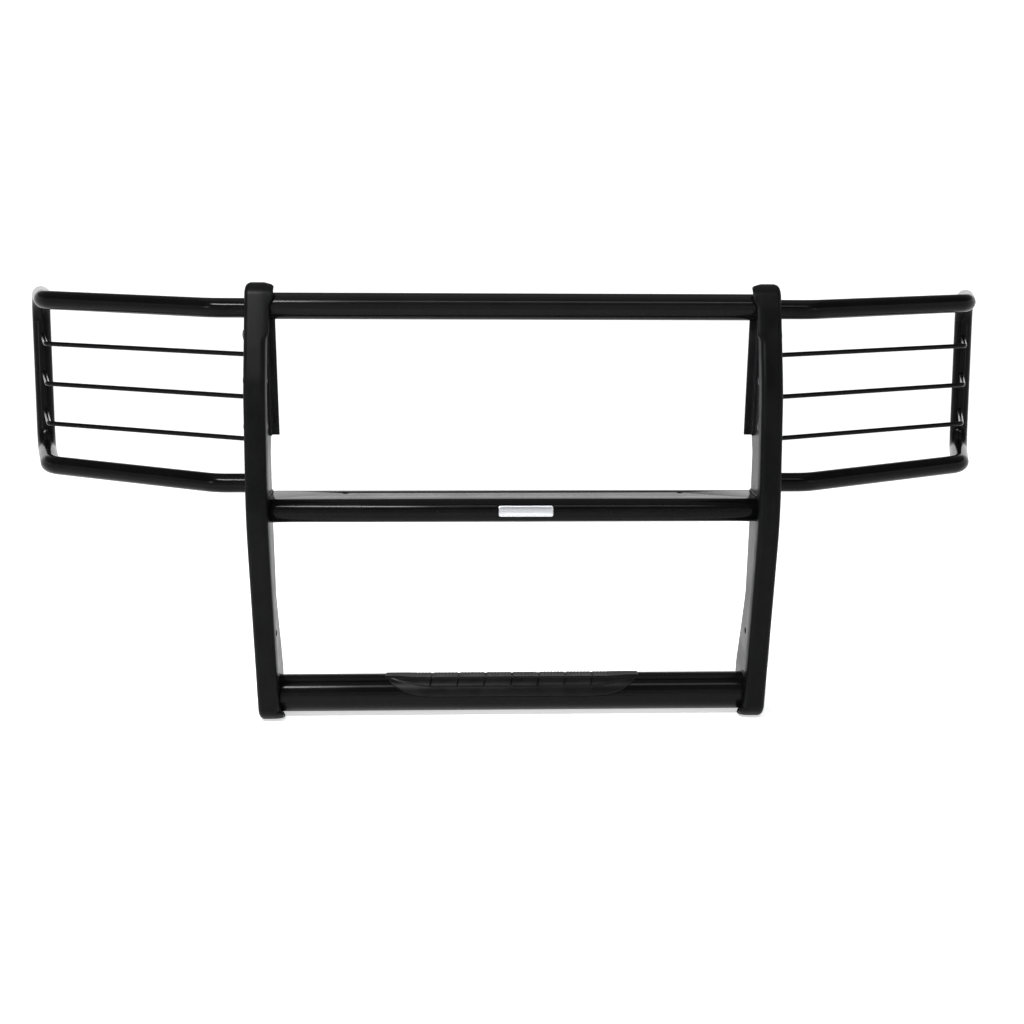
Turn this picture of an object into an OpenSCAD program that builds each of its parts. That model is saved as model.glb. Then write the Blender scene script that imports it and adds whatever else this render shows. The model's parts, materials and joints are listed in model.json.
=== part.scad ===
// Front grille guard: two channel uprights with moulded covers, three cross members and two
// wrap-around wings of bent tube with rods. Millimetres, +X to the side, +Y to the rear, +Z up.
// The origin is the middle of the upper bracket bolt line, which runs across both uprights.

/* [Overall] */
// Middle of one upright to the middle of the other
upright_spacing = 982; // [900:1:1040]
// Top cross tube above the bracket bolt line
top_tube_height = 654; // [640:1:670]
// Step tube below the bracket bolt line
step_tube_drop = 128; // [120:1:136]

/* [Uprights] */
// Outside width of each channel upright
channel_width = 27; // [24:0.5:32]
// Wall of the channel uprights
channel_wall = 4; // [3:0.5:5]
// Width of the moulded cover
cover_width = 42; // [38:1:48]
// Thickness of the cover in front of the upright
cover_thickness = 8; // [6:0.5:10]
// How far the cover's sides reach back
cover_depth = 28; // [22:1:32]
// Radius of the cover's front shoulders
shoulder_radius = 10; // [5:0.5:11]
// Clearance hole radius for the bracket bolts
bracket_hole_r = 6.5; // [5:0.25:7]

/* [Cross members] */
// Outside diameter of the top cross tube
top_tube_d = 50.8; // [44:0.1:54]
// Outside diameter of the step tube
step_tube_d = 76.2; // [70:0.1:77]
// Height of the light bar
light_bar_height = 46; // [40:1:50]
// Flat depth of the light bar behind its nose
light_bar_flat = 76; // [66:1:80]
// Distance between the two light holes
light_hole_spacing = 660; // [400:1:760]
// Light hole radius
light_hole_r = 5.5; // [4:0.25:6.5]
// Wall of the cross members
cross_wall = 3; // [2:0.25:4]

/* [Wings] */
// Outside diameter of the wing hoop tube
hoop_d = 38.1; // [32:0.1:40]
// Wall of the wing hoop tube
hoop_wall = 2; // [1.5:0.25:3]
// Centreline bend radius of the wing hoop
hoop_bend_r = 57; // [50:1:62]
// Height of the wing hoop between rail centres
hoop_height = 335; // [320:1:350]
// Rod diameter
rod_d = 9.5; // [8:0.5:12]
// Sideways reach of the wing's front corner from the middle
corner_reach = 956; // [920:1:980]
// Length of the wrap behind the front corner
wrap_length = 200; // [180:1:220]

/* [Hidden] */

$fn = 64;
tube_fn = 32;
bend_fn = 48;
bend_thinning = 0.05;
bend_run_in = 0.5;
chord_sag = 0.05;
eps = 0.01;
// how far a cutting shape reaches past what it cuts
past = 1;
far_past = 200;
LEFT = -1;
RIGHT = 1;

// heights and depths measured from the bracket bolt line
half_spacing = upright_spacing / 2;
inner_face = half_spacing - channel_width / 2;
outer_face = half_spacing + channel_width / 2;
top_tube_y = 21;
step_tube_y = -3;
step_tube_z = -step_tube_drop;

// side profile of the cover's front surface: rear end of the top hook, top corner, upper knee,
// lower knee, bottom corner, rear end of the bottom hook
hook_top_z = top_tube_height + 44;
hook_bottom_z = step_tube_z - 44;
front_path = [[34, hook_top_z], [-2, hook_top_z], [-68, 505], [-103.5, 264.3],
              [-59.9, hook_bottom_z], [-6, hook_bottom_z]];
front_radii = [0, 30, 400, 500, 36, 0];
lower_knee = 3;
// rear edge of the channel's side walls, bottom to top, with corner radii
rear_edge = [[34, hook_bottom_z + cover_thickness, 8], [70, step_tube_z + 2, 12], [70, -98, 30],
             [16, 77, 90], [16, 250, 90], [22, 367, 40], [42, 412, 40],
             [52, top_tube_height - 14, 30], [34, hook_top_z - cover_thickness, 4]];
rear_opening_y = 110;

bracket_bolts = [[0, 0], [50, -115]];

// the lip that widens each cover inwards at the top hook, the ear at the bottom hook, and the
// notches that clear the cross members
lip_width = 13;
lip_skin = 2;
lip_back = 7.5;
lip_overlap = 7;
lip_path = [front_path[0] - [1, 0], front_path[1], [-39.7, 588]];
// the lip is full at the hook, narrower in front of the top tube and ends below it
lip_narrow = 6;
lip_full_z = 688;
lip_narrow_top_z = 664;
lip_narrow_low_z = 614;
lip_end_z = 594;
ear_width = 8;
ear_overlap = 4;
ear_thickness = 6;
ear_inset = 1;
ear_length = 42;
notch_gap = 1;
notch_end = inner_face + 0.5;

// studs that hold each cover: distance along the front surface from the knee, up or down
stud_offsets = [-300, -110, 110, 180];
stud_r = 3;
stud_hole_r = 3.25;
stud_head_r = 5;
stud_embed = 5;
stud_end = 2;
nut_af = 10;
nut_h = 5;

// light bar section: the nose is a half round in front of a flat-topped box
nose_r = light_bar_height / 2;
nose_y = -55;
light_bar_top_z = 292;
nose_z = light_bar_top_z - nose_r;
light_hole_y = -7;

badge_length = 105;
badge_height = 20;
badge_thickness = 2;
badge_x = 22;
badge_rise = 3;
badge_corner_r = 4;

// step pad
pad_half_length = 259;
pad_flat_half = 149;
pad_rear_y = 14;
pad_body = 6;
pad_gap = 0.25;
pad_drop = 3.5;
pad_low_z = 3.3;
pad_end_margin = 5;
groove_count = 7;
groove_pitch = 54.5;
groove_width = 3.5;
groove_depth = 1.5;
groove_rise = 1.2;
groove_low_z = 16;

// upper angle on the inner face of each upright
angle_wall = 4;
angle_leg = 14;
angle_flange = 17.5;
angle_rear_y = 32;
angle_bottom_z = 402;
angle_top_z = top_tube_height - top_tube_d / 2 - 0.5;

// wings
hoop_r = hoop_d / 2;
rod_r = rod_d / 2;
wing_lean = 0.13;
sweep = 0.466;
wrap_angle = 20;
wing_top_z = top_tube_height - 5;
wing_top_y = 32;
stub_reach = 580;
stub_bend_r = 100;
rod_bend_r = 16;
rod_drops = [88, 169, 250];
wing_plate_t = 5;
wing_plate_x = outer_face + wing_plate_t;
// outline of the wing plate as [y, z, radius]: its front edge follows the cover's rear edge
wing_plate_over = 19.5;
wing_plate_low_z = wing_top_z - hoop_height - wing_plate_over;
wing_plate_high_z = wing_top_z + wing_plate_over;
wing_plate_outline = [[-60, wing_plate_low_z, 12], [10, wing_plate_low_z, 12],
                      [54, wing_plate_high_z, 12], [19, wing_plate_high_z, 8], [-38, 500, 30]];
wing_bolt_spots = [[5.5, wing_top_z - 49], [-14, wing_top_z - 134], [-30, wing_top_z - 220]];
bolt_r = 5;
bolt_hole_r = 5.5;
bolt_head_r = 9;
bolt_head_h = 5;
washer_r = 10;
washer_t = 2;
wing_nut_af = 17;
wing_nut_h = 6.5;
bolt_end = 1;
bolt_dome_r = 11;

STEEL = [0.05, 0.05, 0.055];
RUBBER = [0.12, 0.12, 0.125];
ZINC = [0.7, 0.7, 0.72];

// ---------- vectors and sweeps ----------

function unit(v) = v / norm(v);
function turn(a, b, c) = acos(max(-1, min(1, unit(b - a) * unit(c - b))));
function tangent(a, b, c, r) = r * tan(turn(a, b, c) / 2);
// how much of each segment the bend at point i uses up
function used(pts, radii, i) =
    i == 0 || i == len(pts) - 1 ? 0 : tangent(pts[i - 1], pts[i], pts[i + 1], radii[i]);
function inward(a, b, c) = unit(unit(c - b) - unit(b - a) * (unit(b - a) * unit(c - b)));
function columns(x, y, z, o) = [[x[0], y[0], z[0], o[0]], [x[1], y[1], z[1], o[1]],
                                [x[2], y[2], z[2], o[2]], [0, 0, 0, 1]];
function side_of(u) = abs(u[2]) > 0.9 ? unit(cross(u, [1, 0, 0])) : unit(cross(u, [0, 0, 1]));

// round bar of radius r along the points, with bend radius radii[i] at each point; a bend is a
// hair thinner than the straights that it runs into, as bending stretches the tube
module round_path(pts, r, radii) {
    for (i = [0 : len(pts) - 2]) {
        u = unit(pts[i + 1] - pts[i]);
        start = pts[i] + u * used(pts, radii, i);
        finish = pts[i + 1] - u * used(pts, radii, i + 1);
        e = side_of(u);
        multmatrix(columns(e, cross(u, e), u, start))
            cylinder(h = norm(finish - start), r = r, $fn = tube_fn);
    }
    for (i = [1 : len(pts) - 2]) {
        a = pts[i - 1];
        b = pts[i];
        c = pts[i + 1];
        n = inward(a, b, c);
        u = unit(b - a);
        centre = b - u * used(pts, radii, i) + n * radii[i];
        run_in = asin(bend_run_in / radii[i]);
        multmatrix(columns(-n, u, cross(u, n), centre)) rotate([0, 0, -run_in])
            rotate_extrude(angle = turn(a, b, c) + 2 * run_in, $fn = bend_fn)
                translate([radii[i], 0]) circle(r - bend_thinning, $fn = tube_fn);
    }
}

// sweeps a flat section along a path in the Y-Z plane: the first child is the section of the
// straights and the second that of the bends; section x points out of the bends and y along X
module band_path(path, radii) {
    pts = [for (p = path) [0, p[0], p[1]]];
    for (i = [0 : len(pts) - 2]) {
        u = unit(pts[i + 1] - pts[i]);
        start = pts[i] + u * used(pts, radii, i);
        finish = pts[i + 1] - u * used(pts, radii, i + 1);
        out = cross([-1, 0, 0], u);
        multmatrix(columns(out, cross(u, out), u, start))
            linear_extrude(norm(finish - start)) mirror([0, 1]) children(0);
    }
    for (i = [1 : len(pts) - 2]) {
        a = pts[i - 1];
        b = pts[i];
        c = pts[i + 1];
        n = inward(a, b, c);
        u = unit(b - a);
        centre = b - u * used(pts, radii, i) + n * radii[i];
        run_in = asin(bend_run_in / radii[i]);
        multmatrix(columns(-n, u, cross(u, n), centre)) rotate([0, 0, -run_in])
            rotate_extrude(angle = turn(a, b, c) + 2 * run_in, $fn = bend_fn)
                translate([radii[i], 0]) children(1);
    }
}

function corner_turn(p, q, r) = cross(q - p, r - q);
function turned(v, angle) =
    [v[0] * cos(angle) - v[1] * sin(angle), v[0] * sin(angle) + v[1] * cos(angle)];
// points along the arc that rounds the corner at b, whichever way it turns
function rounded_corner(a, b, c, r) =
    let (start = b - unit(b - a) * tangent(a, b, c, r), centre = start + inward(a, b, c) * r,
         angle = turn(a, b, c), way = sign(corner_turn(a, b, c)),
         steps = ceil(angle / (2 * acos(1 - chord_sag / r))))
    [for (i = [0 : steps]) centre + turned(start - centre, way * angle * i / steps)];

// polygon from [y, z, radius] points, with its corners rounded
module rounded_polygon(points) {
    n = len(points);
    xy = [for (p = points) [p[0], p[1]]];
    polygon([for (i = [0 : n - 1])
        each points[i][2] == 0 ? [xy[i]]
                               : rounded_corner(xy[(i + n - 1) % n], xy[i], xy[(i + 1) % n], points[i][2])]);
}

// turns a drawing in (y, z) into a solid that is centred on X = x and w thick
module side_plate(x, w) {
    translate([x - w / 2, 0, 0]) rotate([90, 0, 90]) linear_extrude(w) children();
}

module on_side(side) {
    if (side == LEFT) mirror([1, 0, 0]) children();
    else children();
}

module x_cylinder(x0, x1, y, z, r) {
    translate([x0, y, z]) rotate([0, 90, 0]) cylinder(h = x1 - x0, r = r);
}

module hexagon(af, h) {
    cylinder(h = h, r = af / sqrt(3), $fn = 6);
}

// ---------- uprights ----------

// the front path moved inward by d, as sharp corners
function segment_dir(i) = unit(front_path[i + 1] - front_path[i]);
function inset_dir(i) = [-segment_dir(i)[1], segment_dir(i)[0]];
function inset_corner(i, d) =
    front_path[i] + (inset_dir(i - 1) + inset_dir(i)) * d / (1 + inset_dir(i - 1) * inset_dir(i));
function inset_corners(d) =
    [for (i = [1 : 4]) [inset_corner(i, d)[0], inset_corner(i, d)[1], front_radii[i] - d]];

module channel_outline() {
    rounded_polygon(concat(rear_edge, inset_corners(cover_thickness)));
}

module channel_inside() {
    d = cover_thickness + channel_wall;
    rounded_polygon(concat([[rear_opening_y, hook_bottom_z + d, 0], [rear_opening_y, hook_top_z - d, 0]],
                           inset_corners(d)));
}

// a frame on the front surface: origin at a distance from the knee, +Z pointing into the upright
module at_front(distance, depth) {
    knee = front_path[lower_knee];
    dir = distance > 0 ? -segment_dir(lower_knee - 1) : segment_dir(lower_knee);
    p = knee + dir * abs(distance);
    inner = distance > 0 ? inset_dir(lower_knee - 1) : inset_dir(lower_knee);
    q = p + inner * depth;
    u = [0, inner[0], inner[1]];
    e = [1, 0, 0];
    multmatrix(columns(e, cross(u, e), u, [half_spacing, q[0], q[1]])) children();
}

module wing_bolt_places() {
    for (spot = wing_bolt_spots) translate([0, spot[0], spot[1]]) children();
}

module upright_channel(side) {
    on_side(side) difference() {
        side_plate(half_spacing, channel_width) channel_outline();
        side_plate(half_spacing, channel_width - 2 * channel_wall) channel_inside();
        for (b = bracket_bolts)
            x_cylinder(inner_face - past, outer_face + past, b[0], b[1], bracket_hole_r);
        wing_bolt_places() x_cylinder(inner_face - past, outer_face + past, 0, 0, bolt_hole_r);
        for (s = stud_offsets)
            at_front(s, cover_thickness - past) cylinder(h = channel_wall + 2 * past, r = stud_hole_r);
    }
}

// cross-section of the cover, thinned all round: x = 0 is the front surface and -x points into
// the upright
module cover_section(thin) {
    half = cover_width / 2 - thin;
    depth = cover_depth - thin;
    slot = channel_width / 2 + thin;
    difference() {
        union() {
            translate([-depth, -half]) square([depth - shoulder_radius - thin, 2 * half]);
            translate([-depth, -half + shoulder_radius])
                square([depth - thin, 2 * (half - shoulder_radius)]);
            for (s = [-1, 1])
                translate([-shoulder_radius - thin, s * (half - shoulder_radius)]) circle(shoulder_radius);
        }
        translate([-depth - past, -slot]) square([depth + past - cover_thickness + thin, 2 * slot]);
    }
}

module lip_section(thin) {
    half = cover_width / 2;
    translate([-lip_back + thin, -half - lip_width + thin])
        square([lip_back - lip_skin - 2 * thin, lip_width + lip_overlap - 2 * thin]);
}

// the lip follows the top hook and tapers away below the top tube
module cover_lip() {
    cover_edge = half_spacing - cover_width / 2;
    lip_edge = cover_edge - lip_width - past;
    lip_root = cover_edge + 2 * past;
    difference() {
        translate([half_spacing, 0, 0]) band_path(lip_path, [0, front_radii[1], 0]) {
            lip_section(0);
            lip_section(bend_thinning);
        }
        translate([0, far_past / 2, 0]) rotate([90, 0, 0]) linear_extrude(far_past)
            polygon([[lip_edge, lip_full_z], [lip_edge, lip_full_z - far_past],
                     [lip_root, lip_full_z - far_past], [lip_root, lip_end_z],
                     [cover_edge - lip_narrow, lip_narrow_low_z],
                     [cover_edge - lip_narrow, lip_narrow_top_z]]);
    }
}

// the flared ear at the inner side of the bottom hook
module cover_ear() {
    rear = front_path[len(front_path) - 1][0];
    translate([half_spacing - cover_width / 2 - ear_width, rear - ear_length, hook_bottom_z + ear_inset])
        cube([ear_width + ear_overlap, ear_length - ear_inset, ear_thickness]);
}

module upright_cover(side) {
    on_side(side) difference() {
        union() {
            translate([half_spacing, 0, 0]) band_path(front_path, front_radii) {
                cover_section(0);
                cover_section(bend_thinning);
            }
            cover_lip();
            cover_ear();
        }
        x_cylinder(0, notch_end, top_tube_y, top_tube_height, top_tube_d / 2 + notch_gap);
        x_cylinder(0, notch_end, nose_y, nose_z, nose_r + notch_gap);
        x_cylinder(0, notch_end, step_tube_y, step_tube_z, step_tube_d / 2 + notch_gap);
        for (s = stud_offsets)
            at_front(s, cover_thickness - stud_embed) cylinder(h = stud_embed + past, r = stud_head_r);
    }
}

module cover_stud() {
    cylinder(h = stud_embed, r = stud_head_r);
    translate([0, 0, stud_embed - eps])
        cylinder(h = channel_wall + nut_h + stud_end, r = stud_r);
}

module each_stud() {
    for (side = [LEFT, RIGHT])
        for (s = stud_offsets)
            on_side(side) at_front(s, cover_thickness - stud_embed) children();
}

// ---------- cross members ----------

module top_tube() {
    difference() {
        x_cylinder(-inner_face, inner_face, top_tube_y, top_tube_height, top_tube_d / 2);
        x_cylinder(-inner_face - past, inner_face + past, top_tube_y, top_tube_height,
                   top_tube_d / 2 - cross_wall);
    }
}

module nose_section(shrink) {
    r = nose_r - shrink;
    translate([nose_y, nose_z]) {
        circle(r, $fn = 96);
        translate([0, -r]) square([light_bar_flat - shrink, 2 * r]);
    }
}

module light_bar_body() {
    difference() {
        side_plate(0, 2 * inner_face) nose_section(0);
        side_plate(0, 2 * inner_face + 2 * past) nose_section(cross_wall);
        for (s = [-1, 1])
            translate([s * light_hole_spacing / 2, light_hole_y, light_bar_top_z - cross_wall - past])
                cylinder(h = cross_wall + 2 * past, r = light_hole_r);
    }
}

module badge_plate() {
    intersection() {
        side_plate(badge_x, badge_length) difference() {
            translate([nose_y, nose_z]) circle(nose_r + badge_thickness, $fn = 96);
            translate([nose_y, nose_z]) circle(nose_r, $fn = 96);
            translate([nose_y, nose_z - light_bar_height]) square(2 * light_bar_height);
        }
        translate([badge_x, nose_y, nose_z + badge_rise]) rotate([90, 0, 0]) linear_extrude(light_bar_height)
            rounded_polygon([[-badge_length / 2, -badge_height / 2, badge_corner_r],
                             [badge_length / 2, -badge_height / 2, badge_corner_r],
                             [badge_length / 2, badge_height / 2, badge_corner_r],
                             [-badge_length / 2, badge_height / 2, badge_corner_r]]);
    }
}

// front view of the pad's outline: flat low edge that sweeps up to a tip at each end
function swoop(t) = pad_low_z + (step_tube_d / 2 - pad_low_z) * (1 - cos(90 * t)) * t;
swoop_steps = 10;
function swoop_points(inset) =
    [for (i = [0 : swoop_steps]) let (t = i / swoop_steps)
        [pad_flat_half - inset + t * (pad_half_length - pad_flat_half), swoop(t) + inset]];

module pad_outline(inset) {
    right = swoop_points(inset);
    top = step_tube_d;
    polygon(concat([for (p = right) p], [[pad_half_length - inset, top], [-pad_half_length + inset, top]],
                   [for (i = [swoop_steps : -1 : 0]) [-right[i][0], right[i][1]]]));
}

module pad_prism(inset) {
    translate([0, step_tube_y + pad_rear_y - inset, step_tube_z]) rotate([90, 0, 0])
        linear_extrude(pad_rear_y + step_tube_d) pad_outline(inset);
}

module step_tube_body() {
    difference() {
        x_cylinder(-inner_face, inner_face, step_tube_y, step_tube_z, step_tube_d / 2);
        x_cylinder(-inner_face - past, inner_face + past, step_tube_y, step_tube_z,
                   step_tube_d / 2 - cross_wall);
        pad_prism(0);
    }
}

module pad_body_solid() {
    reach = pad_half_length + pad_end_margin;
    difference() {
        intersection() {
            x_cylinder(-reach, reach, step_tube_y, step_tube_z, step_tube_d / 2);
            pad_prism(pad_gap);
        }
        x_cylinder(-reach - past, reach + past, step_tube_y, step_tube_z, step_tube_d / 2 - pad_body);
        translate([-reach, step_tube_y - step_tube_d, step_tube_z + step_tube_d / 2 - pad_drop])
            cube([2 * reach, 2 * step_tube_d, step_tube_d]);
        for (i = [0 : groove_count - 1])
            translate([(i - (groove_count - 1) / 2) * groove_pitch - groove_width / 2,
                       step_tube_y, step_tube_z])
                rotate([90, 0, 90]) linear_extrude(groove_width) difference() {
                    translate([-step_tube_d, groove_low_z]) square(2 * step_tube_d);
                    circle(step_tube_d / 2 - pad_drop - groove_depth + groove_rise, $fn = 96);
                }
    }
}

// ---------- angles and wings ----------

module upper_angle(side) {
    on_side(side) {
        length = angle_top_z - angle_bottom_z;
        translate([inner_face - angle_wall, angle_rear_y - angle_leg, angle_bottom_z])
            cube([angle_wall, angle_leg, length]);
        translate([inner_face - angle_flange, angle_rear_y - angle_wall, angle_bottom_z])
            cube([angle_flange, angle_wall, length]);
    }
}

function wing_y(drop) = wing_top_y - wing_lean * drop;
function corner_y(drop) = wing_y(drop) + sweep * (corner_reach - stub_reach);
leg_reach = corner_reach + wrap_length * sin(wrap_angle);
function leg_y(drop) = corner_y(drop) + wrap_length * cos(wrap_angle);
// one rail or rod seen from above at a given drop below the top rail, upright to leg
function wing_run(drop) =
    [[wing_plate_x, wing_y(drop), wing_top_z - drop], [stub_reach, wing_y(drop), wing_top_z - drop],
     [corner_reach, corner_y(drop), wing_top_z - drop], [leg_reach, leg_y(drop), wing_top_z - drop]];
// a rod runs straight from the plate to the front corner
function rod_run(drop) = let (run = wing_run(drop)) [run[0], run[2], run[3]];
function backwards(list) = [for (i = [len(list) - 1 : -1 : 0]) list[i]];
hoop_points = concat(wing_run(0), backwards(wing_run(hoop_height)));
hoop_radii = [0, stub_bend_r, hoop_bend_r, hoop_bend_r, hoop_bend_r, hoop_bend_r, stub_bend_r, 0];

module wing_hoop(side) {
    last = len(hoop_points) - 1;
    bore_points = [for (i = [0 : last]) hoop_points[i] - (i == 0 || i == last ? [1, 0, 0] : [0, 0, 0])];
    on_side(side) difference() {
        round_path(hoop_points, hoop_r, hoop_radii);
        round_path(bore_points, hoop_r - hoop_wall, hoop_radii);
    }
}

module wing_rod(side, drop) {
    leg_dir = hoop_points[4] - hoop_points[3];
    u = unit(leg_dir);
    e = side_of(u);
    on_side(side) difference() {
        round_path(rod_run(drop), rod_r, [0, rod_bend_r, 0]);
        multmatrix(columns(e, cross(u, e), u, hoop_points[3])) cylinder(h = norm(leg_dir), r = hoop_r);
    }
}

module wing_plate(side) {
    on_side(side) difference() {
        side_plate(outer_face + wing_plate_t / 2, wing_plate_t) rounded_polygon(wing_plate_outline);
        wing_bolt_places() x_cylinder(outer_face - past, wing_plate_x + past, 0, 0, bolt_hole_r);
    }
}

module each_wing_bolt() {
    for (side = [LEFT, RIGHT]) on_side(side) wing_bolt_places() children();
}

module wing_bolt() {
    translate([inner_face, 0, 0]) rotate([0, -90, 0]) intersection() {
        cylinder(h = bolt_head_h, r = bolt_head_r);
        translate([0, 0, bolt_head_h - bolt_dome_r]) sphere(r = bolt_dome_r, $fn = 48);
    }
    x_cylinder(inner_face - eps, wing_plate_x + washer_t + wing_nut_h + bolt_end, 0, 0, bolt_r);
}

module wing_washer() {
    difference() {
        x_cylinder(wing_plate_x, wing_plate_x + washer_t, 0, 0, washer_r);
        x_cylinder(wing_plate_x - past, wing_plate_x + washer_t + past, 0, 0, bolt_r);
    }
}

module wing_nut() {
    x0 = wing_plate_x + washer_t;
    difference() {
        translate([x0, 0, 0]) rotate([0, 90, 0]) hexagon(wing_nut_af, wing_nut_h);
        x_cylinder(x0 - past, x0 + wing_nut_h + past, 0, 0, bolt_r);
    }
}

// ---------- named nodes ----------

module upright_channel_left() color(STEEL) upright_channel(LEFT);
module upright_channel_right() color(STEEL) upright_channel(RIGHT);
module upright_cover_left() color(RUBBER) upright_cover(LEFT);
module upright_cover_right() color(RUBBER) upright_cover(RIGHT);
module cover_studs() color(ZINC) each_stud() cover_stud();
module cover_nuts() color(ZINC) each_stud() difference() {
    translate([0, 0, stud_embed + channel_wall]) hexagon(nut_af, nut_h);
    translate([0, 0, stud_embed + channel_wall - past]) cylinder(h = nut_h + 2 * past, r = stud_r);
}
module top_cross_tube() color(STEEL) top_tube();
module light_bar() color(STEEL) light_bar_body();
module light_bar_badge() color(ZINC) badge_plate();
module step_tube() color(STEEL) step_tube_body();
module step_pad() color(RUBBER) pad_body_solid();
module upper_angle_left() color(STEEL) upper_angle(LEFT);
module upper_angle_right() color(STEEL) upper_angle(RIGHT);
module wing_plate_left() color(STEEL) wing_plate(LEFT);
module wing_plate_right() color(STEEL) wing_plate(RIGHT);
module wing_hoop_left() color(STEEL) wing_hoop(LEFT);
module wing_hoop_right() color(STEEL) wing_hoop(RIGHT);
module wing_rod_upper_left() color(STEEL) wing_rod(LEFT, rod_drops[0]);
module wing_rod_middle_left() color(STEEL) wing_rod(LEFT, rod_drops[1]);
module wing_rod_lower_left() color(STEEL) wing_rod(LEFT, rod_drops[2]);
module wing_rod_upper_right() color(STEEL) wing_rod(RIGHT, rod_drops[0]);
module wing_rod_middle_right() color(STEEL) wing_rod(RIGHT, rod_drops[1]);
module wing_rod_lower_right() color(STEEL) wing_rod(RIGHT, rod_drops[2]);
module wing_bolts() color(ZINC) each_wing_bolt() wing_bolt();
module wing_washers() color(ZINC) each_wing_bolt() wing_washer();
module wing_nuts() color(ZINC) each_wing_bolt() wing_nut();

upright_channel_left();
upright_channel_right();
upright_cover_left();
upright_cover_right();
cover_studs();
cover_nuts();
top_cross_tube();
light_bar();
light_bar_badge();
step_tube();
step_pad();
upper_angle_left();
upper_angle_right();
wing_plate_left();
wing_plate_right();
wing_hoop_left();
wing_hoop_right();
wing_rod_upper_left();
wing_rod_middle_left();
wing_rod_lower_left();
wing_rod_upper_right();
wing_rod_middle_right();
wing_rod_lower_right();
wing_bolts();
wing_washers();
wing_nuts();
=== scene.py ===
import bmesh, bpy, json, math
from math import cos, pi, sin, radians
from mathutils import Matrix, Vector


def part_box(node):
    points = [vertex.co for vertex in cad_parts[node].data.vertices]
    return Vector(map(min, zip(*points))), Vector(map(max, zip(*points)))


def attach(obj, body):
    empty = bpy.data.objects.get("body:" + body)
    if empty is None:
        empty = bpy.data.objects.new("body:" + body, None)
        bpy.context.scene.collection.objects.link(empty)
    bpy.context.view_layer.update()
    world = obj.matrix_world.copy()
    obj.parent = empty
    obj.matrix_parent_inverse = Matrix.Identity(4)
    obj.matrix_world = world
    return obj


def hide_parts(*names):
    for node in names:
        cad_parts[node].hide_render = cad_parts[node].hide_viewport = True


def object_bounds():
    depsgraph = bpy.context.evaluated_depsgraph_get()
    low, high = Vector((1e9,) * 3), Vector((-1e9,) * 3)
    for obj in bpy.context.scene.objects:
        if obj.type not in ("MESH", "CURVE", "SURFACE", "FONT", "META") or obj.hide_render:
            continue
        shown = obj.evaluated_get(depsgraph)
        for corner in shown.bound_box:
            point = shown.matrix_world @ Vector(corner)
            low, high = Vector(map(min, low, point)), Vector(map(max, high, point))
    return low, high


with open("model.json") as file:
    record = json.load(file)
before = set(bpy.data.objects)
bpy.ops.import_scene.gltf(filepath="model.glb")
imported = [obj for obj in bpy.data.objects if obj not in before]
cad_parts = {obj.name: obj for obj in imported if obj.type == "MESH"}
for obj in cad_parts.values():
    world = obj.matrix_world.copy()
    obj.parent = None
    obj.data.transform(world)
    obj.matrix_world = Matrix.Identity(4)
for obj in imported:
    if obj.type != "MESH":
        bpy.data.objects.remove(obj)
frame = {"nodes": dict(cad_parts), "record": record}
nodes = frame["nodes"]
cad_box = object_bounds()

# ---------------------------------------------------------------- sizes, in metres
half_spacing = 0.491            # middle of an upright
channel_width = 0.027
cover_width = 0.042
cover_thickness = 0.008
cover_depth = 0.028
shoulder = 0.010
hook_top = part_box("upright_cover_right")[1].z
hook_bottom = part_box("upright_cover_right")[0].z
front_path = [(0.034, hook_top), (-0.002, hook_top), (-0.068, 0.505), (-0.1035, 0.2643),
              (-0.0599, hook_bottom), (-0.006, hook_bottom)]
front_radii = [0, 0.030, 0.4, 0.5, 0.036, 0]
tip_round = 0.0018              # rounding of the cover's rear edges
# how far the cover's top flares inwards, by height: full at the hook, narrow in front of the tube
lip_steps = [(0.590, 0.0), (0.612, 0.006), (0.656, 0.006), (0.676, 0.013)]
low_lip_z, low_lip_width, low_lip_fade = -0.147, 0.008, 0.008
lip_skin, lip_back = 0.0025, 0.0078     # the lip lies between these depths behind the front surface
lip_nose = 0.0026               # rounding of the lip's outer edge
inner_face = half_spacing - channel_width / 2
outer_face = half_spacing + channel_width / 2
notch_gap = 0.001
notch_end = inner_face + 0.0005

tube_lo, tube_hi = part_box("top_cross_tube")
top_tube = ((tube_lo.y + tube_hi.y) / 2, (tube_lo.z + tube_hi.z) / 2, (tube_hi.z - tube_lo.z) / 2)
step_r, step_y = 0.0381, -0.003
step_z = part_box("step_tube")[0].z + step_r
bar_lo, bar_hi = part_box("light_bar")
nose_r = (bar_hi.z - bar_lo.z) / 2
nose_y = bar_lo.y + nose_r
nose_z = bar_lo.z + nose_r
bar_corner = 0.004
light_mount = next(m for m in frame["record"]["mounts"] if m["name"] == "light_holes")

# tread pad: half length, half length of its flat lower edge, height of that edge, rear edge
pad_half, pad_flat_half, pad_low, pad_rear = 0.259, 0.149, 0.0033, 0.014
pad_gap, pad_sunk = 0.00025, 0.005
pad_lift, pad_top, pad_tip = 0.0005, 0.0376, 0.205  # skin above the tube, its flat top, start of a plain tip
tread_half, tread_z = 0.165, 0.0225     # the blocks begin at this height, and higher near the tips
block_lift, block_edge = 0.0013, 0.0012
groove_pitch, groove_side_count, groove_depth = 0.0545, 3, 0.0030
rib_pitch, rib_depth = 0.0068, 0.0006

badge_half_height, badge_rise, badge_corner = 0.0099, 0.003, 0.004

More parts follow.
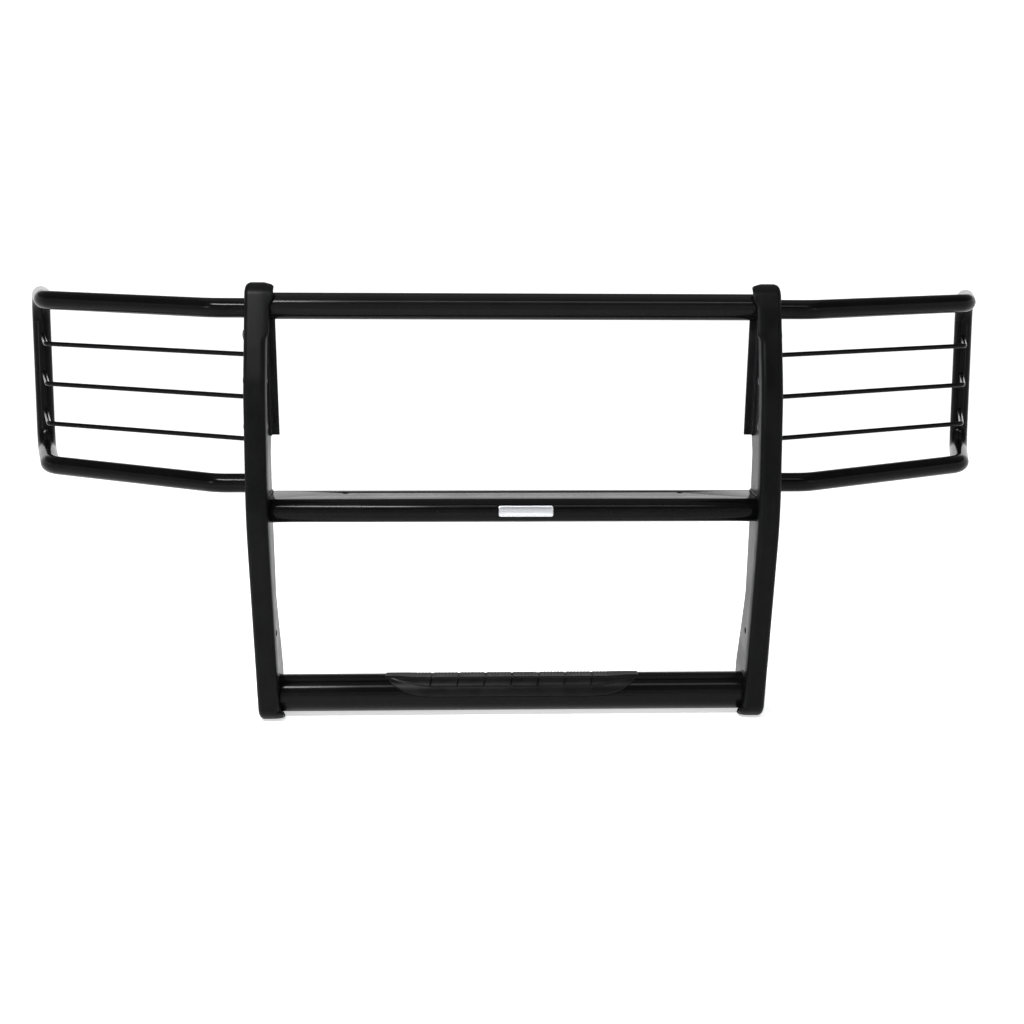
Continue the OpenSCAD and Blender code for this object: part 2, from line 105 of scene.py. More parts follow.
hoop_r, hoop_bend, stub_bend, hoop_height = 0.01889, 0.057, 0.100, 0.335
rod_r, rod_bend = 0.00475, 0.016
wing_top_y, wing_lean, sweep_back = 0.032, 0.13, 0.466
wing_top_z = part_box("wing_hoop_right")[1].z - 0.01905
plate_x = outer_face + 0.005
stub_x, corner_x, wrap, wrap_angle = 0.580, 0.956, 0.200, radians(20)
rod_drops = {"upper": 0.088, "middle": 0.169, "lower": 0.250}
bolt_places = [(0.0055, 0.049), (-0.014, 0.134), (-0.030, 0.220)]    # depth, drop from the top rail
bolt_r, head_r, head_h, thread_end = 0.005, 0.009, 0.005, 0.001
washer_r, washer_t, washer_edge = 0.010, 0.002, 0.0003
nut_af, nut_h = 0.017, 0.0065
weld_width, hoop_weld, rod_weld = 0.0026, 0.0024, 0.0016

# ---------------------------------------------------------------- materials


def add(tree, kind, **values):
    n = tree.nodes.new(kind)
    for key, value in values.items():
        if key in n.inputs:
            n.inputs[key].default_value = value
        else:
            setattr(n, key.lower(), value)
    return n


def material(name, dark, light, rough, blotch, grain, bump, stretch=(1, 1, 1), worn=None,
             metallic=0.0, specular=0.5):
    """A finish with blotchy colour, uneven roughness, fine grain and wear where edges stand out."""
    m = bpy.data.materials.new(name)
    m.use_nodes = True
    t = m.node_tree
    out = t.nodes["Principled BSDF"]
    out.inputs["Metallic"].default_value = metallic
    out.inputs["Specular IOR Level"].default_value = specular
    place = add(t, "ShaderNodeTexCoord")
    scaled = add(t, "ShaderNodeMapping", Scale=stretch)
    t.links.new(place.outputs["Object"], scaled.inputs["Vector"])
    big = add(t, "ShaderNodeTexNoise", Scale=blotch, Detail=4.0)
    fine = add(t, "ShaderNodeTexNoise", Scale=grain, Detail=3.0, Roughness=0.6)
    for noise in (big, fine):
        t.links.new(scaled.outputs["Vector"], noise.inputs["Vector"])
    ramp = add(t, "ShaderNodeValToRGB")
    ramp.color_ramp.elements[0].position, ramp.color_ramp.elements[1].position = 0.35, 0.68
    ramp.color_ramp.elements[0].color = (*dark, 1)
    ramp.color_ramp.elements[1].color = (*light, 1)
    t.links.new(big.outputs["Fac"], ramp.inputs["Fac"])
    colour = ramp.outputs["Color"]
    if worn:
        edge = add(t, "ShaderNodeNewGeometry")
        pick = add(t, "ShaderNodeMapRange")
        pick.inputs["From Min"].default_value, pick.inputs["From Max"].default_value = 0.53, 0.62
        pick.inputs["To Max"].default_value = worn[1]
        t.links.new(edge.outputs["Pointiness"], pick.inputs["Value"])
        mix = add(t, "ShaderNodeMix", data_type="RGBA")
        t.links.new(pick.outputs["Result"], mix.inputs["Factor"])
        colour_a, colour_b, colour_out = mix.inputs[6], mix.inputs[7], mix.outputs[2]
        t.links.new(colour, colour_a)
        colour_b.default_value = (*worn[0], 1)
        colour = colour_out
    t.links.new(colour, out.inputs["Base Color"])
    uneven = add(t, "ShaderNodeMapRange")
    uneven.inputs["From Min"].default_value, uneven.inputs["From Max"].default_value = 0.3, 0.7
    uneven.inputs["To Min"].default_value, uneven.inputs["To Max"].default_value = rough
    t.links.new(big.outputs["Fac"], uneven.inputs["Value"])
    t.links.new(uneven.outputs["Result"], out.inputs["Roughness"])
    relief = add(t, "ShaderNodeBump", Strength=bump[0], Distance=bump[1])
    t.links.new(fine.outputs["Fac"], relief.inputs["Height"])
    t.links.new(relief.outputs["Normal"], out.inputs["Normal"])
    return m


GLOSS = material("gloss_black", (0.0011, 0.0011, 0.0012), (0.0018, 0.0018, 0.0020), (0.12, 0.19),
                 14, 420, (0.05, 0.0004), worn=((0.02, 0.02, 0.021), 0.2), specular=0.072)
SATIN = material("satin_black", (0.003, 0.003, 0.0033), (0.006, 0.006, 0.0064), (0.26, 0.36),
                 18, 900, (0.15, 0.0003), worn=((0.03, 0.03, 0.031), 0.3), specular=0.18)
COVER = material("cover_rubber", (0.0014, 0.0015, 0.0016), (0.0026, 0.0027, 0.0029), (0.32, 0.42),
                 22, 1500, (0.22, 0.0003), worn=((0.02, 0.02, 0.021), 0.3), specular=0.060)
PAD = material("pad_rubber", (0.0020, 0.0020, 0.0021), (0.0042, 0.0042, 0.0044), (0.28, 0.38),
               30, 2200, (0.35, 0.0003), worn=((0.02, 0.02, 0.021), 0.4), specular=0.11)
METAL = material("badge_metal", (0.50, 0.51, 0.53), (0.66, 0.67, 0.69), (0.22, 0.34),
                 60, 900, (0.12, 0.0001), stretch=(0.04, 1, 1), metallic=1.0)
ZINC = material("black_zinc", (0.030, 0.030, 0.033), (0.060, 0.060, 0.064), (0.26, 0.40),
                150, 1800, (0.15, 0.0001), worn=((0.30, 0.30, 0.31), 0.5), metallic=1.0)
BEAD = material("weld_black", (0.004, 0.004, 0.0045), (0.008, 0.008, 0.0085), (0.2, 0.3),
                60, 1100, (0.25, 0.0004), specular=0.25)

# ---------------------------------------------------------------- mesh helpers


def piece(name, verts, faces, look, slot, node, crease=32):
    """A mesh object that stands for a CAD node."""
    me = bpy.data.meshes.new(name)
    me.from_pydata([tuple(v) for v in verts], [], faces)
    bm = bmesh.new()
    bm.from_mesh(me)
    bmesh.ops.remove_doubles(bm, verts=bm.verts, dist=1e-7)
    bmesh.ops.recalc_face_normals(bm, faces=bm.faces)
    bm.to_mesh(me)
    bm.free()
    place_piece(name, me, look, node, crease)


def place_piece(name, me, look, node, crease=32):
    """The object for a finished mesh, smooth except where it bends by more than the crease angle."""
    me.shade_smooth()
    me.set_sharp_from_angle(angle=radians(crease))
    me.materials.clear()
    me.materials.append(look)
    o = bpy.data.objects.new(name, me)
    bpy.context.scene.collection.objects.link(o)
    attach(o, "root")
    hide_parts(node)
    return o


def clamp(v):
    return min(max(v, 0.0), 1.0)


def join(parts):
    """One vertex list and one face list from several."""
    verts, faces = [], []
    for v, f in parts:
        base = len(verts)
        verts += v
        faces += [[i + base for i in face] for face in f]
    return verts, faces


def flipped(part):
    """The same shape on the other side of the object."""
    verts, faces = part
    return [Vector((-v[0], v[1], v[2])) for v in verts], [list(reversed(f)) for f in faces]


def moved(part, m):
    return [m @ Vector(v) for v in part[0]], part[1]


def both(name, part, look, slot, node, crease=32):
    piece(f"{name}_right", *part, look, slot, f"{node}_right", crease)
    piece(f"{name}_left", *flipped(part), look, slot, f"{node}_left", crease)


def loft(rings, caps=True):
    """Quads between closed rings of equal length."""
    n = len(rings[0])
    verts = [Vector(p) for ring in rings for p in ring]
    faces = []
    for k in range(len(rings) - 1):
        for i in range(n):
            j = (i + 1) % n
            faces.append([k * n + i, k * n + j, (k + 1) * n + j, (k + 1) * n + i])
    if caps:
        faces.append(list(range(n))[::-1])
        faces.append([(len(rings) - 1) * n + i for i in range(n)])
    return verts, faces


def rounded_path(points, radii, step):
    """Points along straight runs joined by arcs, one every few degrees."""
    pts = [Vector(p) for p in points]
    path = [pts[0]]
    for i in range(1, len(pts) - 1):
        a, b, c = pts[i - 1:i + 2]
        u, w = (b - a).normalized(), (c - b).normalized()
        turn = u.angle(w)
        if radii[i] <= 0 or turn < 1e-4:
            path.append(b)
            continue
        inward = (w - u * u.dot(w)).normalized()
        start = b - u * radii[i] * math.tan(turn / 2)
        centre = start + inward * radii[i]
        count = max(3, math.ceil(math.degrees(turn) / step))
        for k in range(count + 1):
            g = turn * k / count
            path.append(centre + (-inward * cos(g) + u * sin(g)) * radii[i])
    path.append(pts[-1])
    return path


def tangents(path):
    out = []
    for i in range(len(path)):
        a, b = path[max(i - 1, 0)], path[min(i + 1, len(path) - 1)]
        if 0 < i < len(path) - 1:
            d = (path[i] - a).normalized() + (b - path[i]).normalized()
        else:
            d = b - a
        out.append(d.normalized())
    return out


def tube(path, radius, around):
    """A round bar along a path; radius is a number or a list with one for each point."""
    dirs = tangents(path)
    side = dirs[0].orthogonal().normalized()
    rings = []
    for k, (p, d) in enumerate(zip(path, dirs)):
        if k:
            side = dirs[k - 1].rotation_difference(d) @ side
        other = d.cross(side)
        r = radius[k] if isinstance(radius, list) else radius
        rings.append([p + (side * cos(2 * pi * i / around) + other * sin(2 * pi * i / around)) * r
                      for i in range(around)])
    return loft(rings)


def bead(path, width, ripple=0.0035, around=12):
    """A weld bead: a lumpy half-sunk bar along a path, with tapered ends."""
    points, radii, run = [], [], 0.0
    for a, b in zip(path[:-1], path[1:]):
        length = (b - a).length
        count = max(1, round(length / (ripple / 5)))
        for i in range(count):
            points.append(a.lerp(b, i / count))
            radii.append(width * (0.86 + 0.14 * abs(sin(pi * (run + length * i / count) / ripple))))
        run += length
    points.append(path[-1])
    radii.append(width * 0.45)
    radii[0] = width * 0.45
    return tube(points, radii, around)


def circle_path(centre, u, w, r, start, end, step):
    count = math.ceil((end - start) / step)
    return [Vector(centre) + (Vector(u) * cos(radians(start + (end - start) * i / count)) +
                              Vector(w) * sin(radians(start + (end - start) * i / count))) * r
            for i in range(count + 1)]


def turned(profile, around=48):
    """A lathe shape about Z from (radius, height) points, capped at both ends."""
    rings = [[Vector((r * cos(2 * pi * i / around), r * sin(2 * pi * i / around), z))
              for i in range(around)] for r, z in profile]
    return loft(rings)


def refined(node, name, look, bevel):
    """The CAD node's own shape with its edges broken."""
    me = nodes[node].data.copy()
    me.name = name
    bm = bmesh.new()
    bm.from_mesh(me)
    bmesh.ops.remove_doubles(bm, verts=bm.verts, dist=2e-6)
    bmesh.ops.dissolve_limit(bm, angle_limit=radians(0.6), verts=bm.verts, edges=bm.edges)
    bmesh.ops.recalc_face_normals(bm, faces=bm.faces)
    bm.to_mesh(me)
    bm.free()
    for layer in list(me.attributes):
        if layer.name.startswith("custom_normal"):
            me.attributes.remove(layer)
    o = place_piece(name, me, look, node)
    mod = o.modifiers.new("edges", "BEVEL")
    mod.width, mod.segments, mod.limit_method = bevel, 2, "ANGLE"
    mod.angle_limit = radians(28)
    mod.harden_normals = True


def solid(name, part):
    """A temporary object for cutting."""
    me = bpy.data.meshes.new(name)
    me.from_pydata([tuple(v) for v in part[0]], [], part[1])
    bm = bmesh.new()
    bm.from_mesh(me)
    bmesh.ops.recalc_face_normals(bm, faces=bm.faces)
    bm.to_mesh(me)
    bm.free()
    o = bpy.data.objects.new(name, me)
    bpy.context.scene.collection.objects.link(o)
    return o


def cut(part, cutters, bevel=0.0):
    """The part less the cutters, with its sharp edges rounded, as vertices and faces."""
    base = solid("cut_base", part)
    tools = [solid(f"cutter_{i}", c) for i, c in enumerate(cutters)]
    for tool in tools:
        mod = base.modifiers.new("cut", "BOOLEAN")
        mod.operation, mod.object, mod.solver = "DIFFERENCE", tool, "EXACT"
    if bevel:
        mod = base.modifiers.new("round", "BEVEL")
        mod.width, mod.segments, mod.limit_method = bevel, 2, "ANGLE"
        mod.angle_limit = radians(35)
    bpy.context.view_layer.update()
    shape = base.evaluated_get(bpy.context.evaluated_depsgraph_get()).to_mesh()
    result = ([v.co.copy() for v in shape.vertices], [list(p.vertices) for p in shape.polygons])
    for o in [base, *tools]:
        bpy.data.objects.remove(o)
    return result


def x_bar(x0, x1, y, z, r, around=96):
    return tube([Vector((x0, y, z)), Vector((x1, y, z))], r, around)


# ---------------------------------------------------------------- uprights


def cover_section(reach):
    """(x, depth) points round the cover's section; its inner side flares out by the reach."""
    half, slot, tip = cover_width / 2, channel_width / 2 + 0.0001, tip_round
    outer = [(half, cover_depth - tip), (half, cover_depth * 0.6), (half, shoulder)]
    for i in range(1, 13):
        g = pi / 2 * i / 12
        outer.append((half - shoulder + shoulder * cos(g), shoulder - shoulder * sin(g)))
    front = [((half - shoulder) * k, 0.0) for k in (0.5, 0.0, -0.5)]
    plain = [(-x, d) for x, d in reversed(outer)]
    wide, skin, back = half + reach, lip_skin, lip_back
    nose = lip_nose * min(reach / 0.008, 1.0)
    lip = [(-half + 0.006, 0.0003), (-half + 0.002, 0.0008), (-half - 0.25 * reach, 0.0014),
           (-half - 0.5 * reach, 0.0019), (-half - 0.75 * reach + nose * 0.2, 0.0023)]
    for i in range(1, 8):
        g = pi * i / 8
        lip.append((-wide + nose * (1 - sin(g)), (skin + back) / 2 - (back - skin) / 2 * cos(g)))
    lip += [(-half - 0.2 * reach, back + 0.0004), (-half, cover_depth * 0.6), (-half, cover_depth - tip)]
    flare = min(reach / 0.005, 1.0)
    inner = [(a[0] + (b[0] - a[0]) * flare, a[1] + (b[1] - a[1]) * flare) for a, b in zip(plain, lip)]
    rear = [(half - tip * (1 - cos(g)), cover_depth - tip + tip * sin(g))
            for g in (pi / 2 * i / 4 for i in range(1, 5))]
    slot_side = [(slot + 0.0012, cover_depth), (slot, cover_depth - 0.0012), (slot, cover_thickness)]
    left = [(-x, d) for x, d in rear] + [(-x, d) for x, d in slot_side]
    return outer + front + inner + left + [(-x, d) for x, d in reversed(left)]


def smooth(t):
    t = clamp(t)
    return t * t * (3 - 2 * t)


def lip_reach(p):
    """How far the cover flares inwards: a hood over the top tube and a small ear under the step tube.
    Both fade out towards the rear."""
    if p.z < lip_steps[0][0]:
        return low_lip_width * smooth((low_lip_z - p.z) / low_lip_fade) * smooth((-0.007 - p.y) / 0.012)
    for (z0, r0), (z1, r1) in zip(lip_steps[:-1], lip_steps[1:]):
        if p.z < z1:
            return r0 + (r1 - r0) * smooth((p.z - z0) / (z1 - z0))
    return lip_steps[-1][1] * smooth((0.034 - p.y) / 0.028)


def cover_body():
    path = rounded_path([(0, y, z) for y, z in front_path], front_radii, 2.5)
    top = max(k for k, p in enumerate(path) if p.z > lip_steps[2][0])
    path[top + 1:top + 1] = [path[top].lerp(path[top + 1], i / 40) for i in range(1, 40)]
    rings = []
    for p, d in zip(path, tangents(path)):
        inward = Vector((0, -d.z, d.y))
        rings.append([Vector((half_spacing + x, 0, 0)) + p + inward * depth
                      for x, depth in cover_section(lip_reach(p))])
    return loft(rings)


cover = cut(cover_body(), [
    x_bar(0, notch_end, top_tube[0], top_tube[1], top_tube[2] + notch_gap),
    x_bar(0, notch_end, nose_y, nose_z, nose_r + notch_gap),
    x_bar(0, notch_end, step_y, step_z, step_r + notch_gap)], bevel=0.0008)
both("cover", cover, COVER, "cover_rubber", "upright_cover")
for hand in ("left", "right"):
    refined(f"upright_channel_{hand}", f"channel_{hand}", SATIN, 0.0006)
    refined(f"upper_angle_{hand}", f"angle_{hand}", SATIN, 0.0006)
    refined(f"wing_plate_{hand}", f"plate_{hand}", SATIN, 0.0007)

# ---------------------------------------------------------------- cross members

piece("top_tube", *x_bar(-inner_face, inner_face, *top_tube), GLOSS, "gloss_tube", "top_cross_tube")


def bar_section():
    """(y, z) points of the light bar: half-round nose, flat top and bottom, rounded rear."""
    r, corner = nose_r, bar_corner
    points = [(nose_y - r * sin(g), nose_z + r * cos(g)) for g in (pi * i / 64 for i in range(65))]
    cy = bar_hi.y - corner
    for cz, first in ((nose_z - r + corner, -90), (nose_z + r - corner, 0)):
        points += [(cy + corner * cos(radians(first + 15 * i)), cz + corner * sin(radians(first + 15 * i)))
                   for i in range(7)]
    return points


bar = loft([[Vector((x, y, z)) for y, z in bar_section()] for x in (-inner_face, inner_face)])
hole = light_mount["dims"]
hole_y = light_mount["pos_m"][1]
holes = [moved(turned([(hole["hole_r_mm"] / 1000, -0.03), (hole["hole_r_mm"] / 1000, 0.03)]),
               Matrix.Translation((s * hole["spacing_x_mm"] / 2000, hole_y, bar_hi.z)))
         for s in (-1, 1)]
piece("light_bar_tube", *cut(bar, holes, bevel=0.0005), GLOSS, "gloss_tube", "light_bar")


def pad_edge(x, inset=0.0):
    """Height of the pad's lower edge above the tube's middle, at a distance from its centre."""
    half, flat, low = pad_half - inset, pad_flat_half - inset, pad_low + inset
    t = clamp((abs(x) - flat) / (half - flat))
    return low + (step_r - pad_low) * (1 - cos(pi / 2 * t)) * t


def pad_prism():
    """The room the pad takes out of the tube."""
    xs = [pad_half * (i / 60) for i in range(-60, 61)]
    outline = [(x, pad_edge(x)) for x in xs] + [(pad_half, 0.09), (-pad_half, 0.09)]
    rings = [[Vector((x, y, step_z + z)) for x, z in outline]
             for y in (step_y - 0.08, step_y + pad_rear)]
    return loft(rings)


step = cut(x_bar(-inner_face, inner_face, step_y, step_z, step_r, 128), [pad_prism()])
piece("step_bar", *step, GLOSS, "gloss_tube", "step_tube")


def tread_low(x):
    """Height above the tube's middle where the tread blocks begin."""
    return tread_z + 0.0130 * clamp((abs(x) - tread_half) / 0.085) ** 1.4


def pad_height(x, g):
    """Radius of the pad's skin at a place along it and at an angle from the front."""
    top_front, low_front, pitch = radians(66), radians(37), groove_pitch
    rise = clamp((step_r * sin(g) - tread_low(x)) / block_edge)
    r = step_r + pad_lift + block_lift * rise
    tip = clamp((abs(x) - pad_tip) / 0.03)
    top = pad_top + 0.0012 * tip
    if r * sin(g) > top:
        r = top / sin(g)
    # grooves between the blocks, leaning a little on the front
    lean = 0.004 * clamp((top_front - g) / (top_front - low_front))
    k = round((x + lean) / pitch)
    off = abs(x + lean - k * pitch)
    wide = 0.0021 if g > top_front else 0.0016
    grooved = abs(k) <= groove_side_count
    if grooved:
        r -= groove_depth * rise * max(0.0, 1 - (off / wide) ** 4)
    inside = rise * (1 - tip) * (clamp((off - wide) / 0.001) if grooved else 1.0)
    # a crease between front and top, and fine ribs on the top
    r -= 0.0007 * inside * max(0.0, 1 - abs(g - top_front) / radians(1.8))
    if g > radians(72) and abs(x) < 3.6 * pitch:
        r -= rib_depth * inside * (0.5 - 0.5 * cos(2 * pi * x / rib_pitch)) * clamp((g - radians(72)) / 0.06)
    return r


def pad_shape():
    """A skin over the recess, turned down into it all round."""
    half, columns, rows, flat_top = pad_half - pad_gap, 1100, 72, 0.0346
    back = math.atan2(flat_top, pad_gap - pad_rear)
    verts, grid = [], []
    for i in range(columns + 1):
        x = half * (2 * i / columns - 1)
        low = min(pad_edge(x, pad_gap), flat_top - 0.00005)
        g0 = math.asin(low / step_r)
        column = []
        for j in range(rows + 1):
            g = g0 + (back - g0) * j / rows
            r = pad_height(x, g)
            edge = min(j, rows - j, i, columns - i, 3)
            r -= 0.0012 * (1 - edge / 3) ** 2
            column.append(len(verts))
            verts.append(Vector((x, step_y - r * cos(g), step_z + r * sin(g))))
        grid.append(column)
    faces = [[grid[i][j], grid[i + 1][j], grid[i + 1][j + 1], grid[i][j + 1]]
             for i in range(columns) for j in range(rows)]
    rim = [grid[i][0] for i in range(columns + 1)] + [grid[columns][j] for j in range(1, rows + 1)]
    rim += [grid[i][rows] for i in range(columns - 1, -1, -1)] + [grid[0][j] for j in range(rows - 1, 0, -1)]
    sunk = []
    for v in rim:
        p = verts[v]
        d = Vector((0, p.y - step_y, p.z - step_z))
        sunk.append(len(verts))
        verts.append(Vector((p.x, step_y, step_z)) + d * (1 - pad_sunk / d.length))
    n = len(rim)
    faces += [[rim[(k + 1) % n], rim[k], sunk[k], sunk[(k + 1) % n]] for k in range(n)]
    faces.append(sunk[::-1])
    return verts, faces


piece("tread_pad", *pad_shape(), PAD, "pad_rubber", "step_pad", 50)


def badge_shape():
    """A plate bent over the nose, with a raised rim round a sunk, plain panel."""
    lo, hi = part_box("light_bar_badge")
    cx, half_x = (lo.x + hi.x) / 2, (hi.x - lo.x) / 2

    def ring(inset, lift):
        out = []
        a, b, corner = half_x - inset, badge_half_height - inset, max(badge_corner - inset, 0.0008)
        for qx, qs, first in ((1, 1, 0), (-1, 1, 90), (-1, -1, 180), (1, -1, 270)):
            for i in range(9):
                g = radians(first + 90 * i / 8)
                x = qx * (a - corner) + corner * cos(g)
                s = qs * (b - corner) + corner * sin(g)
                t = math.asin(min(1.0, (s + badge_rise) / nose_r))
                r = nose_r + lift
                out.append(Vector((cx + x, nose_y - r * cos(t), nose_z + r * sin(t))))
        return out
    levels = [(0.0, 0.0002), (0.0, 0.0013), (0.0003, 0.0018), (0.0008, 0.00195), (0.0014, 0.00195),
              (0.0018, 0.0018), (0.0021, 0.0013), (0.0025, 0.0012), (0.0052, 0.0012)]
    return loft([ring(*level) for level in levels])


piece("badge", *badge_shape(), METAL, "badge_metal", "light_bar_badge", 40)

# ---------------------------------------------------------------- wings


def wing_y(drop):
    """Depth of the wing at a drop below its top rail; the wing leans forwards downwards."""
    return wing_top_y - wing_lean * drop


def wing_run(drop):
    """One rail or rod, from the mounting plate to the rear leg."""
    y, z = wing_y(drop), wing_top_z - drop
    corner_y = y + sweep_back * (corner_x - stub_x)
    return [Vector((plate_x, y, z)), Vector((stub_x, y, z)), Vector((corner_x, corner_y, z)),
            Vector((corner_x + wrap * sin(wrap_angle), corner_y + wrap * cos(wrap_angle), z))]


hoop_points = wing_run(0) + wing_run(hoop_height)[::-1]
hoop_radii = [0, stub_bend, hoop_bend, hoop_bend, hoop_bend, hoop_bend, stub_bend, 0]
hoop_path = rounded_path(hoop_points, hoop_radii, 2.5)
both("hoop", tube(hoop_path, hoop_r, 64), GLOSS, "gloss_tube", "wing_hoop")
for level, drop in rod_drops.items():
    start, _, corner, end = wing_run(drop)
    path = rounded_path([start, corner, end], [0, rod_bend, 0], 4)
    leg = path[-1] - path[-2]
    path[-1] = path[-1] - leg.normalized() * (hoop_r - 0.003)
    both(f"rod_{level}", tube(path, rod_r, 32), GLOSS, "gloss_tube", f"wing_rod_{level}")


def bolt_spots():
    return [Vector((0, y, wing_top_z - drop)) for y, drop in bolt_places]


def hex_nut(af, h, r_hole):
    """A hexagon nut along +Z with chamfered corners and a plain bore, chamfered at both ends."""
    corner = af / math.sqrt(3)
    ring_count = 48

    def ring(z, top):
        out = []
        for i in range(ring_count):
            g = 2 * pi * i / ring_count
            hexagon = (af / 2) / cos((g % (pi / 3)) - pi / 6)
            out.append(Vector((min(hexagon, top) * cos(g), min(hexagon, top) * sin(g), z)))
        return out
    flat = af / 2
    outer = [ring(0, flat), ring(h * 0.09, corner), ring(h * 0.91, corner), ring(h, flat)]
    bore = [[Vector((r * cos(2 * pi * i / ring_count), r * sin(2 * pi * i / ring_count), z))
             for i in range(ring_count)]
            for r, z in ((r_hole + 0.0006, h), (r_hole + 0.00005, h * 0.92), (r_hole + 0.00005, h * 0.08),
                         (r_hole + 0.0006, 0))]
    rings = outer + bore
    verts, faces = loft(rings, caps=False)
    n, last = ring_count, (len(rings) - 1) * ring_count
    faces += [[last + i, last + (i + 1) % n, (i + 1) % n, i] for i in range(n)]
    return verts, faces


def threaded(r, z0, z1, pitch=0.0015):
    """Profile of a threaded shank from z0 to z1."""
    out, z = [], z0
    while z < z1 - pitch:
        out += [(r, z), (r - 0.0004, z + pitch / 2)]
        z += pitch
    return out + [(r - 0.0002, z1 - 0.0008), (r - 0.0010, z1), (0.0001, z1)]


along_x = Matrix.Rotation(pi / 2, 4, "Y")
grip = plate_x - inner_face
end = grip + washer_t + nut_h + thread_end
head = [(0.0001, -head_h)]
head += [(head_r * sin(g), -head_h * cos(g)) for g in (pi / 2 * i / 8 for i in range(1, 8))]
head += [(head_r, -0.0006), (head_r, -0.0001), (bolt_r, 0.0), (bolt_r, grip)]
bolt = turned(head + threaded(bolt_r, grip + 0.0005, end))
washer_side = [(washer_r - 0.0002, 0), (washer_r, washer_edge), (washer_r, washer_t - washer_edge),
               (washer_r - 0.0002, washer_t)]
washer = turned([(bolt_r + 0.0001, 0), *washer_side, (bolt_r + 0.0001, washer_t)])
nut = hex_nut(nut_af, nut_h, bolt_r)
sets = {"wing_bolts": (bolt, inner_face), "wing_washers": (washer, plate_x),
        "wing_nuts": (nut, plate_x + washer_t)}
for node, (shape, x) in sets.items():
    right = join([moved(shape, Matrix.Translation(spot + Vector((x, 0, 0))) @ along_x)
                  for spot in bolt_spots()])
    piece(f"{node}_detail", *join([right, flipped(right)]), ZINC, "zinc_fasteners", node, 30)
for node in ("cover_studs", "cover_nuts"):
    refined(node, f"{node}_detail", ZINC, 0.0003)

# ---------------------------------------------------------------- weld beads


def ring_bead(x, y, z, r, start, end, width=weld_width):
    """A bead round a tube that meets a plate across X; angles run from +Y towards +Z."""
    return bead(circle_path((x, y, z), (0, 1, 0), (0, 0, 1), r, start, end, 6.0), width)


def weld(name, beads, node, mirrored=False):
    """Beads on both ends of one node, or one set for each hand's own node when mirrored."""
    shape = join(beads)
    if mirrored:
        both(name, shape, BEAD, "gloss_tube", node, 60)
    else:
        piece(name, *join([shape, flipped(shape)]), BEAD, "gloss_tube", node, 60)


weld("weld_top_tube", [ring_bead(inner_face, top_tube[0], top_tube[1], top_tube[2], -80, 70)],
     "top_cross_tube")
weld("weld_step_tube", [ring_bead(inner_face, step_y, step_z, step_r, -120, 120)], "step_tube")
front, rear, cut_off = -0.040, bar_hi.y, 0.003
bar_run = [(front, bar_hi.z), (rear - cut_off, bar_hi.z), (rear, bar_hi.z - cut_off),
           (rear, bar_lo.z + cut_off), (rear - cut_off, bar_lo.z), (front, bar_lo.z)]
weld("weld_light_bar", [bead([Vector((inner_face, y, z)) for y, z in bar_run], weld_width)], "light_bar")
for rail, drop, reach in (("top", 0, 125), ("bottom", hoop_height, 150)):
    foot = ring_bead(plate_x, wing_y(drop), wing_top_z - drop, hoop_r, -reach, reach, hoop_weld)
    weld(f"weld_hoop_{rail}", [foot], "wing_hoop", True)
for level, drop in rod_drops.items():
    foot = ring_bead(plate_x, wing_y(drop), wing_top_z - drop, rod_r, 0, 360, rod_weld)
    weld(f"weld_rod_{level}", [foot], f"wing_rod_{level}", True)

# ---------------------------------------------------------------- floor, light and camera

floor_z = cad_box[0].z - 0.0005


def paper(name, shade):
    m = bpy.data.materials.new(name)
    m.use_nodes = True
    t = m.node_tree
    out = t.nodes["Principled BSDF"]
    out.inputs["Roughness"].default_value = 0.9
    out.inputs["Specular IOR Level"].default_value = 0.1
    out.inputs["Emission Color"].default_value = (1, 1, 1, 1)
    out.inputs["Emission Strength"].default_value = 0.55
    noise = add(t, "ShaderNodeTexNoise", Scale=3.0, Detail=2.0)
    ramp = add(t, "ShaderNodeValToRGB")
    ramp.color_ramp.elements[0].color = (shade * 0.985, shade * 0.985, shade * 0.985, 1)
    ramp.color_ramp.elements[1].color = (shade, shade, shade, 1)
    t.links.new(noise.outputs["Fac"], ramp.inputs["Fac"])
    t.links.new(ramp.outputs["Color"], out.inputs["Base Color"])
    return m


# a round studio: the floor turns up into a wall far outside every camera
flat_r, wall_r = 4.5, 3.5
bowl = [(0.5, 0), (2, 0), (flat_r, 0)] + [(flat_r + wall_r * sin(g), wall_r - wall_r * cos(g))
                                          for g in (pi / 2 * i / 16 for i in range(1, 15))]
rings = [[Vector((r * cos(2 * pi * i / 128), r * sin(2 * pi * i / 128), floor_z + z))
          for i in range(128)] for r, z in bowl]
floor_mesh = bpy.data.meshes.new("floor")
verts, faces = loft(rings)
floor_mesh.from_pydata([tuple(v) for v in verts], [], faces[:-1])
floor_mesh.shade_smooth()
floor_mesh.materials.append(paper("floor_paper", 0.93))
floor = bpy.data.objects.new("floor", floor_mesh)
bpy.context.scene.collection.objects.link(floor)


def soft_light(name, place, target, size, power):
    data = bpy.data.lights.new(name, "AREA")
    data.shape = "RECTANGLE"
    data.size, data.size_y, data.energy = size[0], size[1], power
    o = bpy.data.objects.new(name, data)
    o.location = place
    o.rotation_euler = (Vector(target) - Vector(place)).to_track_quat("-Z", "Y").to_euler()
    bpy.context.scene.collection.objects.link(o)


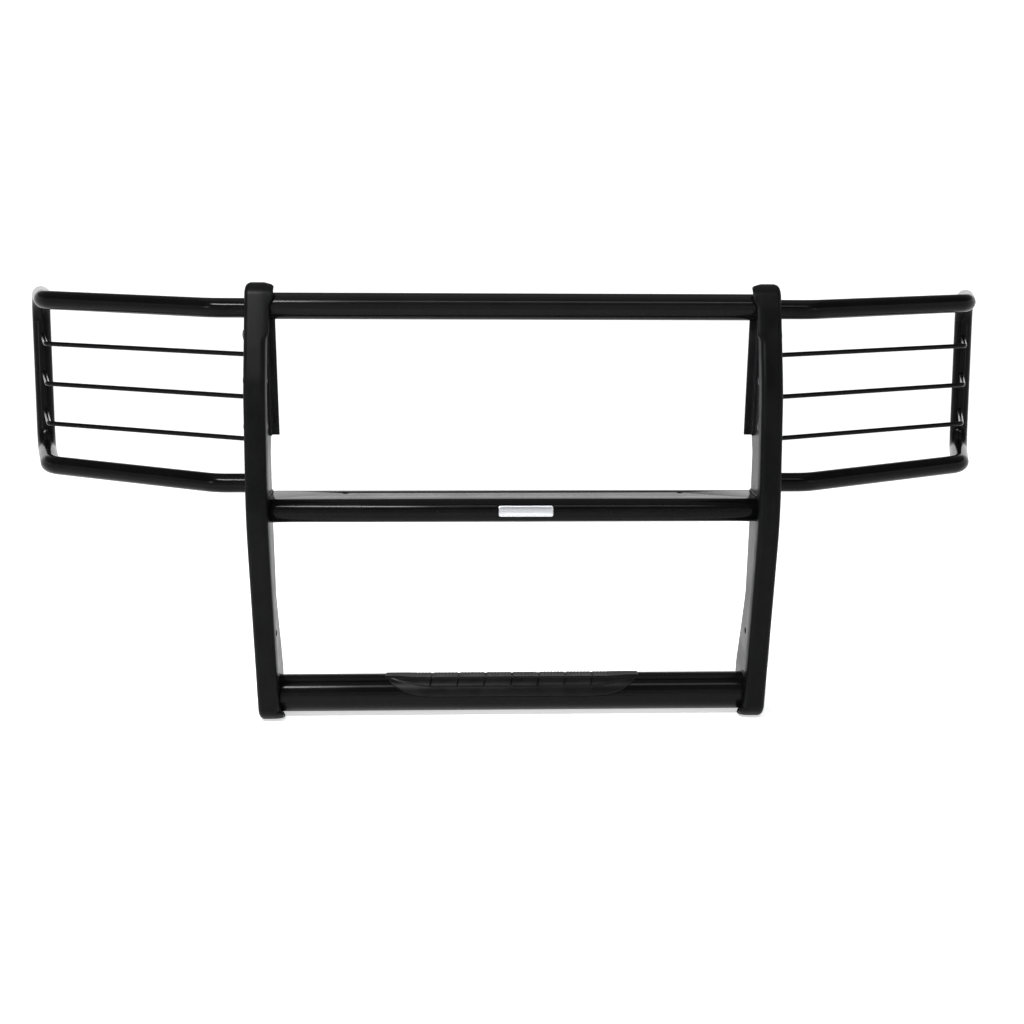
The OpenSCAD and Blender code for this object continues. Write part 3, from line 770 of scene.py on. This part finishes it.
soft_light("front_strip", (0, -1.58, 2.35), (0, 0, 0.25), (3.4, 0.24), 30)
soft_light("left_strip", (-1.20, -1.58, 2.35), (-0.4, 0, 0.25), (1.1, 0.32), 80)
for side in (-1, 1):
    watts = 6 - side * 2        # the left one is stronger, as in the photo
    soft_light(f"side_box_{side + 1}", (side * 2.6, -2.3, 1.15), (side * 0.5, 0, 0.5), (0.22, 0.9), watts)
soft_light("overhead", (0, 0.6, 3.6), (0, 0.3, 0), (4.5, 3.0), 18)
world = bpy.data.worlds.new("studio")
world.use_nodes = True
sky = world.node_tree
facing = add(sky, "ShaderNodeTexCoord")
split = add(sky, "ShaderNodeSeparateXYZ")
height = add(sky, "ShaderNodeValToRGB")
steps = [(0.0, 0.95), (0.24, 0.95), (0.40, 0.24), (0.8, 0.24), (0.95, 0.55)]
for i, (at, grey) in enumerate(steps):
    stop = height.color_ramp.elements[i] if i < 2 else height.color_ramp.elements.new(at)
    stop.position, stop.color = at, (grey, grey, grey * 1.01, 1)
sky.links.new(facing.outputs["Generated"], split.inputs["Vector"])
sky.links.new(split.outputs["Z"], height.inputs["Fac"])
sky.links.new(height.outputs["Color"], sky.nodes["Background"].inputs["Color"])
sky.nodes["Background"].inputs["Strength"].default_value = 1.0
bpy.context.scene.world = world
bpy.context.scene.view_settings.view_transform = "Standard"

eye = Vector((-0.0867, -2.409, 0.8567))
yaw, pitch, roll = radians(2.005), radians(14.097), radians(0.359)
ahead = Vector((sin(yaw) * cos(pitch), cos(yaw) * cos(pitch), -sin(pitch)))
right = Vector((cos(yaw), -sin(yaw), 0))
up = right.cross(ahead)
right, up = right * cos(roll) + up * sin(roll), up * cos(roll) - right * sin(roll)
camera_data = bpy.data.cameras.new("camera")
camera_data.sensor_width, camera_data.lens = 36.0, 43.95
camera = bpy.data.objects.new("camera", camera_data)
camera.matrix_world = Matrix.Translation(eye) @ Matrix((right, up, -ahead)).transposed().to_4x4()
bpy.context.scene.collection.objects.link(camera)
bpy.context.scene.camera = camera

bpy.context.view_layer.update()
